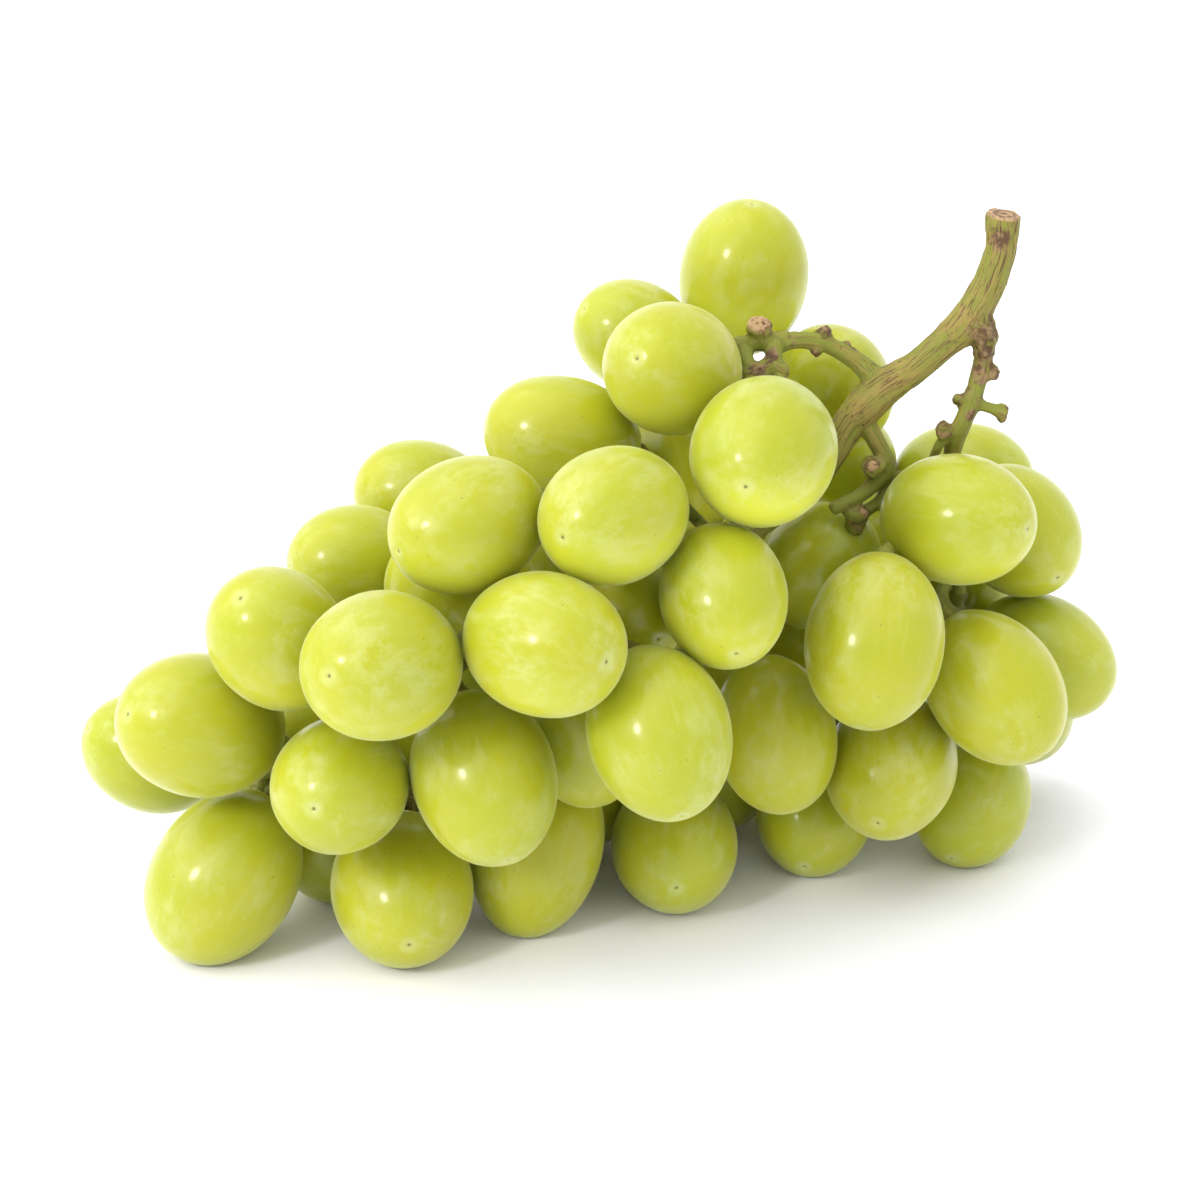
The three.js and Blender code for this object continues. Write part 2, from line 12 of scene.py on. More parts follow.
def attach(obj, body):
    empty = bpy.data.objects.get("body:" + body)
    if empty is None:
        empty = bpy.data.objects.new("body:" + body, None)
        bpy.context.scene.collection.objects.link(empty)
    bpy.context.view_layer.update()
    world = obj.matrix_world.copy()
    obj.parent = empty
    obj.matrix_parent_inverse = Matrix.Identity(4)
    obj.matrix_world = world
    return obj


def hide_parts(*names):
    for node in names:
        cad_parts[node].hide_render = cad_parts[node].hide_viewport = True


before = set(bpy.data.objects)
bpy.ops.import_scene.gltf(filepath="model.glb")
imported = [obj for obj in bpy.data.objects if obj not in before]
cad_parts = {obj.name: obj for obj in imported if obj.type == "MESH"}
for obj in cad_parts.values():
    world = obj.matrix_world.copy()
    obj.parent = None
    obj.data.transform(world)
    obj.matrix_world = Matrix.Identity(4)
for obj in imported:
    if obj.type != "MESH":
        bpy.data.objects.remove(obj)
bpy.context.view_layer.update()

bl_info = {
    "name": "Bunch of grapes",
    "version": (1, 0, 0),
    "blender": (4, 5, 0),
    "location": "3D View > Sidebar > Grapes",
    "description": "Dresses the solids of a bunch of grapes with skin, bloom and bark",
    "category": "Object",
}

MM = 0.001

# The view of the photograph: how far the camera is, how far down it looks and what it looks at
VIEW_DISTANCE = 0.42
VIEW_DOWN = math.radians(20)
VIEW_CENTRE = Vector((-0.000592, 0.018184, 0.0414))
VIEW_ACROSS = Vector((1, 0, 0))
VIEW_AHEAD = Vector((0, math.cos(VIEW_DOWN), -math.sin(VIEW_DOWN)))
VIEW_UP = Vector((0, math.sin(VIEW_DOWN), math.cos(VIEW_DOWN)))
HALF_PICTURE = 0.096

# The branches as the viewer sees them: across, up, back and radius, in millimetres
MAIN_STEM = [
    (64.8, 63.4, -30.4, 2.8),
    (64.5, 60.6, -29.9, 2.6),
    (64.2, 56.3, -29, 2.3),
    (62.6, 51.4, -28, 2.35),
    (60.2, 46.7, -27, 2.55),
    (58, 43.6, -26.5, 2.9),
    (55.2, 41.3, -26, 2.35),
    (50.6, 37.4, -25, 2.3),
    (46.1, 34.4, -24, 2.7),
    (42.9, 31.7, -23, 2.95),
    (40, 28.6, -22, 2.45),
    (37.5, 24, -21, 2.2),
    (33, 18, -20, 2.1),
    (25, 12, -20, 2),
    (12, 6, -21, 1.9),
    (-5, -1.5, -23, 1.7),
    (-22, -9.5, -27, 1.55),
    (-36, -17.5, -27, 1.4),
    (-47, -25, -24, 1.2),
    (-54, -28, -19, 1.05),
]
RIGHT_BRANCH = [
    (60.5, 44.3, -26.5, 2.1),
    (61.7, 42.4, -26, 1.95),
    (61.6, 39.8, -25, 1.4),
    (61.1, 37.4, -24.5, 1.35),
    (60.2, 34.1, -24, 1.3),
    (59.5, 31.7, -23.5, 1.4),
    (58.1, 28.5, -23, 1.35),
    (57, 26.2, -21, 1.45),
    (56.2, 23, -17, 1.3),
    (56.5, 17, -13, 1.2),
    (57.5, 9, -10.5, 1.15),
    (57.5, 1, -9, 1.05),
]
LEFT_BRANCH = [
    (44.6, 35, -23.5, 1.9),
    (41.3, 38.1, -23.5, 1.45),
    (38.2, 40, -24, 1.3),
    (35.5, 41.3, -24.5, 1.3),
    (32.3, 41.6, -25.5, 1.25),
    (29.6, 41.4, -26, 1.35),
    (26.6, 41.3, -26.5, 1.4),
    (22.5, 41, -26, 1.2),
    (17, 40, -23, 1.1),
    (11.5, 37, -20, 1.05),
]
LOWER_BRANCH = [
    (42.2, 29, -22, 1.6),
    (44, 25.8, -21.5, 1.4),
    (45.6, 22.7, -20.5, 1.4),
    (46, 20.7, -19.5, 1.4),
    (43.6, 18.3, -20.5, 1.2),
    (41.3, 16.6, -21.5, 1.05),
    (37, 14.5, -22, 1),
]
SHOOTS = [
    [(59.7, 31.5, -23.5, 0.9), (62.5, 30.7, -23.5, 0.85), (64.3, 30, -23.5, 1.1)],
    [(59.5, 31.7, -23.5, 0.7), (57.4, 32, -23.7, 0.6)],
    [(61, 36.4, -24.4, 0.9), (62.9, 36.2, -24.6, 0.7)],
    [(57.2, 26.8, -22, 1), (55.1, 27.1, -22.6, 0.95)],
    [(55.6, 27, -22.3, 0.8), (54.1, 24.5, -21, 0.75), (53.2, 22.6, -18.5, 0.7)],
    [(45.7, 22.4, -20.8, 1.1), (43.6, 21.4, -22.8, 1.3)],
    [(46, 20.9, -19.5, 1.2), (46, 18.3, -18.5, 0.95), (44.8, 15.8, -19, 0.9), (42.2, 14.1, -20.3, 1),
     (41.1, 13.7, -21, 1.5)],
    [(35.6, 41.2, -24.5, 1.1), (35.9, 42.8, -24.8, 1)],
    [(39, 39.8, -24, 0.8), (39.6, 41.4, -24.2, 0.4)],
    [(26, 41.5, -26.5, 1.4), (25.5, 43.6, -27.3, 1.5)],
    [(27.8, 41, -26.5, 1.5), (27.8, 39.2, -27.5, 1.3), (27.6, 37.6, -28, 1.2), (28.7, 36.9, -28.4, 1.4)],
    [(27.5, 38, -28, 1.2), (25.2, 36.9, -28.6, 1.1), (24, 37, -28.8, 1)],
    [(28.4, 37, -28.2, 1.2), (25.8, 35.9, -28.6, 1.3), (22.8, 35.7, -29, 1.2)],
    [(23.4, 41, -26.3, 1.1), (23.3, 39, -27.6, 1), (24, 36.9, -28.8, 0.95)],
    [(59.6, 44.2, -28.6, 0.7), (61.1, 43.2, -29.2, 0.85), (62.5, 41.7, -28.2, 0.8), (62.7, 40.2, -26.6, 0.6)],
    [(-30.9, -31.2, -5.5, 1.2), (-29.6, -31.4, -5.5, 1.8), (-29.7, -33.8, -5.5, 1.8)],
    [(-54.9, -29.3, -19.3, 1), (-53.9, -29.6, -19, 1.4), (-52.6, -29.8, -19, 1.3)],
    [(60.2, 42.4, -28.4, 0.5), (61, 40.8, -28, 0.65), (61.1, 38.9, -26.7, 0.5)],
]

# Swellings of the bark: across, up, back and radius in millimetres, then the stretch across and upwards
KNOBS = [
    (64.3, 30, -23.5, 1.6, 0.5, 0.95),
    (57.2, 32.1, -23.7, 1, 1, 1),
    (62.7, 36.3, -24.6, 1.2, 1, 1),
    (54.9, 27.2, -22.8, 1.45, 0.8, 1),
    (61.3, 40.2, -25.6, 1.85, 0.9, 1.1),
    (60.8, 43.6, -27, 2.3, 1, 1),
    (43.6, 21.3, -23.3, 1.75, 1, 1),
    (41, 13.6, -21.2, 1.8, 1.1, 0.8),
    (36, 42.8, -24.9, 1.25, 1, 0.8),
    (34.6, 40.4, -24.6, 1, 1, 1),
    (25.5, 43.6, -27.4, 1.9, 1.05, 0.9),
    (28.7, 36.9, -28.5, 1.65, 1, 1),
    (29.6, 41.3, -26.1, 1.6, 1, 1),
    (45.7, 20.6, -19.8, 1.7, 1, 1),
    (59.3, 31.6, -23.4, 1.75, 1, 1),
]

# Where the bark is brown: across, up, back and reach, in millimetres
SCARS = [
    (60.9, 43.4, -26.5, 3.4),
    (61.7, 40.6, -25.5, 2.6),
    (61.5, 38.2, -25, 1.8),
    (62.7, 36.2, -24.6, 1.4),
    (59.6, 32.3, -23.5, 1.8),
    (57.3, 32.1, -23.7, 1.2),
    (64.8, 30, -23.5, 1.5),
    (54.9, 27.2, -22.8, 1.7),
    (43.5, 21.3, -23, 2),
    (46.3, 21.6, -19.5, 1.6),
    (41.1, 13.7, -21, 2),
    (43.7, 34.2, -24, 1.5),
    (40.4, 40, -23.7, 0.9),
    (35.9, 43, -24.8, 1.7),
    (34.4, 39.2, -25, 1.1),
    (30.4, 41.5, -26, 1.3),
    (28.7, 37, -28.4, 1.5),
    (25.5, 44.3, -27.3, 2.4),
    (27.4, 39.3, -29, 1.6),
    (25.2, 36.6, -29.2, 1.7),
    (63.9, 57.6, -31.2, 1.9),
    (61.3, 42.3, -29, 2.4),
    (61.6, 39.6, -27, 2.1),
    (60.7, 36.8, -25.8, 1.5),
    (43.4, 21.6, -24.8, 1.4),
    (61.2, 35.2, -25.4, 1.2),
    (59.2, 29.6, -24.6, 1.1),
    (39.5, 41, -24.1, 0.8),
]

# Where a stub shows light cork: across, up, back and reach, in millimetres
CORKS = [
    (25.4, 44.4, -28.4, 1.9),
    (43.6, 21.5, -25, 1),
    (65, 30, -23.6, 0.9),
    (42.3, 13.9, -22, 0.9),
]

# The slanting cut at the top of the stem: its middle, and the way it faces across, up and back
CUT_MIDDLE = Vector((64.7, 61.8, -30.1))
CUT_FACING = Vector((0.08, 0.88, -0.47)).normalized()

BRANCHES = [MAIN_STEM, RIGHT_BRANCH, LEFT_BRANCH, LOWER_BRANCH, *SHOOTS]

# The pattern of the cut end, as distances from its middle in millimetres where each part fades in
CUT_RING_INNER = (1.1, 1.4)
CUT_RING_OUTER = (1.95, 1.6)
CUT_HEART = (0.65, 0.3)
CUT_PATTERN_EDGE = (3.4, 2.9)

# How far from that middle the bark can still be painted as cut
CUT_REACH = 4 * MM

# A grape's form, as parts of its size: the dimple and its lip at the stem end, and the dent at the tip
DIMPLE_DEPTH = 0.085
DIMPLE_REACH = 0.17
LIP_HEIGHT = 0.012
LIP_PLACE = 0.3
LIP_REACH = 0.12
TIP_DENT = 0.012
TIP_REACH = 0.09
TIP_INSETS = (0.035, 0.012)
STEM_END_INSETS = (0.03,)
END_SINK = 0.012
POLE_ROWS = 1.2

# How one grape differs from the next: its egg shape, its lumps and where its pattern is read
GRAPE_SEED = 11
EGG = 0.035
LUMP_SCALE = 1.3
PATTERN_SPREAD = 40

# Painted light on the undersides of the higher grapes, lighter flesh in place of light coming through: the
# height where it starts, the rise that scales it, its most, and its wrap
GLOW_START = 46 * MM
GLOW_RISE = 50 * MM
GLOW_MOST = 0.7
GLOW_WRAP = 0.25

# The collar between a stalk and its grape, and how its two ends are widened and narrowed
CAP_SIDES = 14
CAP_RADIUS = 1.5 * MM
CAP_LENGTH = 1.9 * MM
CAP_WIDENING = 1.12
CAP_NARROWING = 0.62
CAP_BEVEL = 0.25 * MM
CAP_GAP = 0.15 * MM

# The bark before it is painted: how far the stalks swell, and how rough the knobs are
KNOB_SEED = 23
KNOB_ROUGHNESS = 0.28
KNOB_GRAIN = 0.9
STALK_SWELL = 0.12 * MM
SMOOTH_STEPS = 8
SHORTEST_SPAN = 1e-9

# Fine specks: cells along half a grape or one metre of bark, their size, and the share that show
GRAPE_SPECKS = {"Scale": 7.0, "Size": 0.09, "Share": 0.16}
BARK_SPECKS = {"Scale": 900.0, "Size": 0.2, "Share": 0.25}

# The stage: the ways that the two lights come from, the small light's distance and size, and the table
KEY_FROM = (-0.57, -0.664, 0.486)
KEY_DISTANCE = 0.8
KEY_SIZE = 0.14
TOP_FROM = (-0.52, -0.2, 0.83)
TABLE_SIZE = 8
SKY_TILT = 0.75
SKY_EDGE = 0.6
SENSOR_WIDTH = 36

GRAPE_NODES = sorted(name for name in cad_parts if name.startswith("grape_"))


class GrapeSkinSettings(bpy.types.PropertyGroup):
    """Sizes and colours of the grapes"""

    segments: bpy.props.IntProperty(
        name="Segments", description="Faces round one grape", default=64, min=16, max=96)
    rings: bpy.props.IntProperty(
        name="Rings", description="Rows of faces from a grape's stem end to its tip", default=42,
        min=10, max=64)
    swell: bpy.props.FloatProperty(
        name="Swell", description="How far a grape stands out past its solid, so that neighbours touch",
        default=0.1 * MM, unit="LENGTH")
    lumps: bpy.props.FloatProperty(
        name="Lumps", description="Height of a grape's slow swellings", default=0.14 * MM, unit="LENGTH")
    green: bpy.props.FloatVectorProperty(
        name="Green", description="Flesh of the greener grapes", default=(0.355, 0.395, 0.022),
        subtype="COLOR")
    yellow: bpy.props.FloatVectorProperty(
        name="Yellow", description="Flesh of the riper patches", default=(0.4, 0.4, 0.016), subtype="COLOR")
    vein: bpy.props.FloatVectorProperty(
        name="Veins", description="Fine lines from stem end to tip", default=(0.47, 0.5, 0.13),
        subtype="COLOR")
    # Besides the wax, this colour is also the painted sheen at the edges seen edge-on
    bloom_and_sheen: bpy.props.FloatVectorProperty(
        name="Bloom", description="Dusty wax on the skin", default=(0.56, 0.6, 0.34), subtype="COLOR")
    # Painted light: the lighter flesh colour laid on the undersides of the higher grapes, in place of light
    # shining through them
    painted_glow: bpy.props.FloatVectorProperty(
        name="Glow", description="Flesh of the undersides, where light comes out again",
        default=(0.8, 0.83, 0.1), subtype="COLOR")
    speck: bpy.props.FloatVectorProperty(
        name="Specks", description="Small dark dots and the scar at the tip", default=(0.1, 0.085, 0.02),
        subtype="COLOR")
    depth: bpy.props.FloatProperty(
        name="Depth", description="How far light spreads in the flesh", default=10 * MM, unit="LENGTH")


class StemSettings(bpy.types.PropertyGroup):
    """Sizes and colours of the stem"""

    grain: bpy.props.FloatProperty(
        name="Grain", description="Edge of the small cells that the stem is rebuilt from", default=0.38 * MM,
        unit="LENGTH", precision=5)
    tube_sides: bpy.props.IntProperty(
        name="Tube sides", description="How finely a branch is rounded before it is rebuilt", default=10,
        min=3)
    ridge_height: bpy.props.FloatProperty(
        name="Ridge height", description="Height of the ridges along the branches", default=0.2 * MM,
        unit="LENGTH", precision=5)
    green: bpy.props.FloatVectorProperty(
        name="Green", description="Young green bark", default=(0.21, 0.23, 0.035), subtype="COLOR")
    tan: bpy.props.FloatVectorProperty(
        name="Tan", description="Older bark on the ridges", default=(0.33, 0.225, 0.07), subtype="COLOR")
    scar: bpy.props.FloatVectorProperty(
        name="Scar", description="Brown of nodes and scars", default=(0.1, 0.045, 0.028), subtype="COLOR")
    cork: bpy.props.FloatVectorProperty(
        name="Cork", description="Cut and torn ends", default=(0.44, 0.29, 0.15), subtype="COLOR")


class TableSettings(bpy.types.PropertyGroup):
    """The table, the lights and the camera"""

    floor: bpy.props.FloatVectorProperty(
        name="Table", description="Colour of the table", default=(0.93, 0.925, 1), subtype="COLOR")
    sky: bpy.props.FloatProperty(
        name="Surround", description="Strength of the white surround above and behind", default=1.2)
    sky_front: bpy.props.FloatProperty(
        name="Front surround", description="Strength of the surround on the viewer's side", default=1.12)
    key: bpy.props.FloatProperty(
        name="Key light", description="Power of the small light at the front left", default=2.0, unit="POWER")
    top: bpy.props.FloatProperty(
        name="Top light", description="Strength of the wide soft light high on the left", default=1.6)
    top_spread: bpy.props.FloatProperty(
        name="Top spread", description="How wide the soft light high on the left looks",
        default=math.radians(80), subtype="ANGLE")


def view_point(across, up, back):
    """A point that the viewer sees at these millimetres, in the part's frame."""
    spread = 1 + back * MM / VIEW_DISTANCE
    return (VIEW_CENTRE + VIEW_AHEAD * back * MM + VIEW_ACROSS * across * spread * MM
            + VIEW_UP * up * spread * MM)


def cut_facing():
    """The way the cut end faces, in the part's frame."""
    return VIEW_ACROSS * CUT_FACING.x + VIEW_UP * CUT_FACING.y + VIEW_AHEAD * CUT_FACING.z


def deselect_all():
    """Leaves nothing selected and no object active."""
    bpy.ops.object.select_all(action="DESELECT")
    bpy.context.view_layer.objects.active = None


def select_only(piece):
    """Makes one piece the only selected and the active one."""
    deselect_all()
    piece.select_set(True)
    bpy.context.view_layer.objects.active = piece


def settle_place(piece):
    """Puts a piece's place into its mesh, so that its object sits at the origin."""
    select_only(piece)
    bpy.ops.object.transform_apply(location=True, rotation=True, scale=True)


def apply_modifier(piece, kind, name, **values):
    """Adds a modifier with these values and applies it."""
    modifier = piece.modifiers.new(name, kind)
    for key, value in values.items():
        setattr(modifier, key, value)
    select_only(piece)
    bpy.ops.object.modifier_apply(modifier=name)


def points_of(mesh):
    """A mesh's points as rows of x, y and z."""
    values = np.empty(len(mesh.vertices) * 3)
    mesh.vertices.foreach_get("co", values)
    return values.reshape(-1, 3)


def set_points(mesh, points):
    """Moves a mesh's points to these rows."""
    mesh.vertices.foreach_set("co", points.astype(np.float32).ravel())
    mesh.update()


def keep_values(mesh, name, values):
    """Keeps one number or one row of three for each point of a mesh, for its material to read."""
    kind = "FLOAT" if values.ndim == 1 else "FLOAT_VECTOR"
    field = "value" if values.ndim == 1 else "vector"
    attribute = mesh.attributes.new(name, kind, "POINT")
    attribute.data.foreach_set(field, values.astype(np.float32).ravel())


class Nodes:
    """Adds shader nodes to a material or a group, and links them."""

    def __init__(self, tree):
        self.tree = tree

    def add(self, kind, inputs=None, **values):
        """A node with its settings and inputs, which are numbers, colours or other nodes' sockets."""
        node = self.tree.nodes.new(kind)
        for key, value in values.items():
            setattr(node, key, value)
        for key, value in (inputs or {}).items():
            if isinstance(value, bpy.types.NodeSocket):
                self.tree.links.new(value, node.inputs[key])
            else:
                node.inputs[key].default_value = value
        return node

    def math(self, operation, first, second=0.5, clamp=False):
        """One sum of two numbers."""
        node = self.add("ShaderNodeMath", {0: first, 1: second}, operation=operation, use_clamp=clamp)
        return node.outputs[0]

    def noise(self, vector, scale, detail=2.0, roughness=0.5):
        """Soft noise from 0 to 1."""
        node = self.add("ShaderNodeTexNoise", {"Vector": vector, "Scale": scale, "Detail": detail,
                                               "Roughness": roughness})
        return node.outputs["Fac"]

    def range(self, value, low, high, start=0.0, end=1.0):
        """Turns low to high into start to end, smoothly, and holds it there outside."""
        node = self.add("ShaderNodeMapRange", {"Value": value, "From Min": low, "From Max": high,
                                               "To Min": start, "To Max": end},
                        interpolation_type="SMOOTHSTEP")
        return node.outputs["Result"]

    def mix(self, share, first, second, blend="MIX"):
        """One colour laid over another by its share."""
        node = self.add("ShaderNodeMix", data_type="RGBA", blend_type=blend, clamp_factor=True)
        for socket, value in ((node.inputs[0], share), (node.inputs[6], first), (node.inputs[7], second)):
            if isinstance(value, bpy.types.NodeSocket):
                self.tree.links.new(value, socket)
            else:
                socket.default_value = (*value, 1) if hasattr(value, "__len__") and len(value) == 3 else value
        return node.outputs[2]

    def scaled(self, vector, factors):
        """A vector with each part times its own factor."""
        return self.add("ShaderNodeVectorMath", {0: vector, 1: factors}, operation="MULTIPLY").outputs[0]

    def moved(self, vector, offset):
        """A vector plus another."""
        return self.add("ShaderNodeVectorMath", {0: vector, 1: offset}, operation="ADD").outputs[0]


def new_material(name):
    """A material with its Principled shader and a node adder."""
    material = bpy.data.materials.new(name)
    material.use_nodes = True
    shader = material.node_tree.nodes["Principled BSDF"]
    return material, shader, Nodes(material.node_tree)


def speckle_group():
    """A node group for fine specks and mottling, which skin and bark share with their own values."""
    group = bpy.data.node_groups.new("fine_specks", "ShaderNodeTree")
    group.interface.new_socket("Place", in_out="INPUT", socket_type="NodeSocketVector")
    for name in ("Scale", "Size", "Share"):
        group.interface.new_socket(name, in_out="INPUT", socket_type="NodeSocketFloat")
    group.interface.new_socket("Specks", in_out="OUTPUT", socket_type="NodeSocketFloat")
    nodes = Nodes(group)
    given = nodes.add("NodeGroupInput")
    cells = nodes.add("ShaderNodeTexVoronoi", {"Vector": given.outputs["Place"],
                                               "Scale": given.outputs["Scale"], "Randomness": 1.0})
    dot = nodes.math("LESS_THAN", cells.outputs["Distance"], given.outputs["Size"])
    pick = nodes.add("ShaderNodeSeparateColor", {0: cells.outputs["Color"]})
    chosen = nodes.math("LESS_THAN", pick.outputs[0], given.outputs["Share"])
    given_back = nodes.add("NodeGroupOutput")
    group.links.new(nodes.math("MULTIPLY", dot, chosen), given_back.inputs["Specks"])
    return group


def grape_material(look, specks):
    """Translucent yellow-green skin with veins, wiped bloom with a painted sheen at the edges, specks, the
    scar at the tip, and painted light on the undersides of the higher grapes.
    """
    material, shader, nodes = new_material("grape_skin")
    place = nodes.add("ShaderNodeAttribute", attribute_name="skin_place").outputs["Vector"]
    own = nodes.add("ShaderNodeAttribute", attribute_name="own_pattern").outputs["Vector"]
    tone = nodes.add("ShaderNodeAttribute", attribute_name="ripeness").outputs["Fac"]
    pattern = nodes.moved(place, own)
    parts = nodes.add("ShaderNodeSeparateXYZ", {0: place})
    end_to_end = parts.outputs["Z"]
    across = nodes.math("SQRT", nodes.math("ADD", nodes.math("POWER", parts.outputs["X"], 2.0),
                                           nodes.math("POWER", parts.outputs["Y"], 2.0)))

    patches = nodes.range(nodes.noise(pattern, 1.1, 3.0), 0.35, 0.68)
    ripe = nodes.math("ADD", nodes.math("MULTIPLY", patches, 0.55), nodes.math("MULTIPLY", tone, 0.55),
                      clamp=True)
    flesh = nodes.mix(ripe, tuple(look.green), tuple(look.yellow))

    streaks = nodes.noise(nodes.scaled(pattern, (9.0, 9.0, 0.7)), 1.0, 4.0, 0.6)
    veins = nodes.range(streaks, 0.48, 0.75, 0.0, 0.22)
    flesh = nodes.mix(veins, flesh, tuple(look.vein))

    # Painted light: the undersides of the higher grapes are lightened towards the painted glow colour,
    # standing in for light coming through the flesh
    painted_glow_share = nodes.add("ShaderNodeAttribute", attribute_name="painted_underside_glow").outputs["Fac"]
    flesh = nodes.mix(painted_glow_share, flesh, tuple(look.painted_glow))

    clouds = nodes.noise(pattern, 1.25, 3.0, 0.55)
    wiped = nodes.noise(nodes.scaled(pattern, (2.0, 2.0, 1.4)), 2.2, 5.0, 0.68)
    dust = nodes.math("MULTIPLY", nodes.range(clouds, 0.4, 0.7), nodes.range(wiped, 0.36, 0.64))
    # Painted sheen: where there is bloom and the skin is seen edge-on, more bloom colour is laid on, standing
    # in for the whitish reflection at grazing edges; the patchy bloom itself is real
    slant = nodes.add("ShaderNodeLayerWeight", {"Blend": 0.35}).outputs["Facing"]
    painted_rim_sheen = nodes.math("MULTIPLY", nodes.range(slant, 0.45, 1.0), nodes.range(wiped, 0.3, 0.6, 0.25, 0.6))
    bloom_and_sheen = nodes.math("ADD", nodes.math("MULTIPLY", dust, 0.28), painted_rim_sheen, clamp=True)
    skin = nodes.mix(bloom_and_sheen, flesh, tuple(look.bloom_and_sheen))

    speckle = nodes.add("ShaderNodeGroup", {"Place": pattern, **GRAPE_SPECKS}, node_tree=specks)
    skin = nodes.mix(nodes.math("MULTIPLY", speckle.outputs["Specks"], 0.45), skin, tuple(look.speck))

    at_tip = nodes.math("GREATER_THAN", end_to_end, 0.0)
    ring = nodes.math("MULTIPLY", nodes.range(across, 0.2, 0.06), at_tip)
    skin = nodes.mix(nodes.math("MULTIPLY", ring, 0.3), skin, tuple(look.bloom_and_sheen))
    dot = nodes.math("MULTIPLY", nodes.range(across, 0.034, 0.016), at_tip)
    skin = nodes.mix(nodes.math("MULTIPLY", dot, 0.65), skin, tuple(look.speck))
    at_stem = nodes.math("LESS_THAN", end_to_end, 0.0)
    collar = nodes.math("MULTIPLY", nodes.range(across, 0.3, 0.14), at_stem)
    skin = nodes.mix(nodes.math("MULTIPLY", collar, 0.55), skin, tuple(look.vein))

    links = material.node_tree.links
    links.new(skin, shader.inputs["Base Color"])
    links.new(nodes.range(bloom_and_sheen, 0.05, 0.4, 0.3, 0.5), shader.inputs["Roughness"])
    pores = nodes.noise(pattern, 16.0, 2.0)
    bump = nodes.add("ShaderNodeBump", {"Height": pores, "Strength": 0.12, "Distance": 0.25 * MM})
    links.new(bump.outputs["Normal"], shader.inputs["Normal"])
    shader.inputs["Subsurface Weight"].default_value = 1.0
    shader.inputs["Subsurface Radius"].default_value = (1.0, 1.0, 0.25)
    shader.inputs["Subsurface Scale"].default_value = look.depth
    shader.inputs["IOR"].default_value = 1.42
    shader.inputs["Specular IOR Level"].default_value = 0.3
    shader.inputs["Coat Weight"].default_value = 0.3
    shader.inputs["Coat Roughness"].default_value = 0.13
    return material


